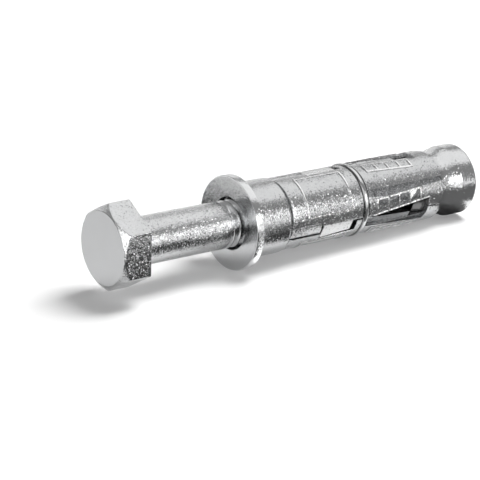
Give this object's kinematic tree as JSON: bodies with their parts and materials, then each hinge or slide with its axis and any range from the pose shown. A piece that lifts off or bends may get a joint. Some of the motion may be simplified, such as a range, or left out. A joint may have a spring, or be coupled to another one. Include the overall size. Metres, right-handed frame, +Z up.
{
  "type": "sleeve anchor",
  "caption": "Sleeve anchor for masonry: hexagon bolt with washer, ferrule, spreading shield segments, wire ring and cone nut.",
  "frame": {"origin": "on the floor under the middle of the anchor as it lies, bottom centre of its box", "axes": "+X towards the nut end along the floor, +Z up; the anchor's own axis dips 2.2 degrees towards the nut, because the washer is larger than the nut"},
  "size_m": [0.0934, 0.02, 0.0204],
  "materials": {
    "bolt_zinc": "bright zinc plate on a forged bolt, satin grain",
    "washer_zinc": "bright zinc plate on a stamped washer",
    "ferrule_zinc": "bright zinc plate on a drawn cap",
    "nut_zinc": "smooth bright zinc plate",
    "ring_wire": "drawn spring wire, bright",
    "segment_zinc": "bright zinc plate on pressed steel, granular"
  },
  "bodies": {
    "shield": {"ferrule": "ferrule_zinc", "wire_ring": "ring_wire"},
    "bolt": {"hex_bolt": "bolt_zinc"},
    "washer": {"washer": "washer_zinc"},
    "nut": {"cone_nut": "nut_zinc"},
    "segment_1": {"shield_segment_1": "segment_zinc"},
    "segment_2": {"shield_segment_2": "segment_zinc"},
    "segment_3": {"shield_segment_3": "segment_zinc"}
  },
  "joints": [
    {"name": "bolt_turn", "type": "hinge", "parent": "shield", "child": "bolt", "pos_m": [-0.01356, 0, 0.00999], "axis": [0.9993, 0, -0.0376], "range_deg": [0, 1080], "deforming": ["wire_ring"]},
    {"name": "washer_slide", "type": "slide", "parent": "bolt", "child": "washer", "axis": [-0.9993, 0, 0.0376], "range_m": [0, 0.02455]},
    {"name": "nut_draw", "type": "slide", "parent": "shield", "child": "nut", "axis": [-0.9993, 0, 0.0376], "range_m": [0, 0.0045]},
    {"name": "segment_1_spread", "type": "hinge", "parent": "shield", "child": "segment_1", "pos_m": [-0.00863, -0.00504, 0.01474], "axis": [-0.0269, -0.6997, -0.714], "range_deg": [0, 1.15]},
    {"name": "segment_2_spread", "type": "hinge", "parent": "shield", "child": "segment_2", "pos_m": [-0.00874, 0.00679, 0.0117], "axis": [0.0362, -0.2689, 0.9625], "range_deg": [0, 1.15]},
    {"name": "segment_3_spread", "type": "hinge", "parent": "shield", "child": "segment_3", "pos_m": [-0.00907, -0.00175, 0.00298], "axis": [-0.0094, 0.9686, -0.2485], "range_deg": [0, 1.15]}
  ],
  "couplings": [
    {"joint": "nut_draw", "follows": "bolt_turn", "m_per_rad": 0.00023873},
    {"joint": "segment_1_spread", "follows": "bolt_turn", "ratio": 0.0010616},
    {"joint": "segment_2_spread", "follows": "bolt_turn", "ratio": 0.0010616},
    {"joint": "segment_3_spread", "follows": "bolt_turn", "ratio": 0.0010616}
  ]
}
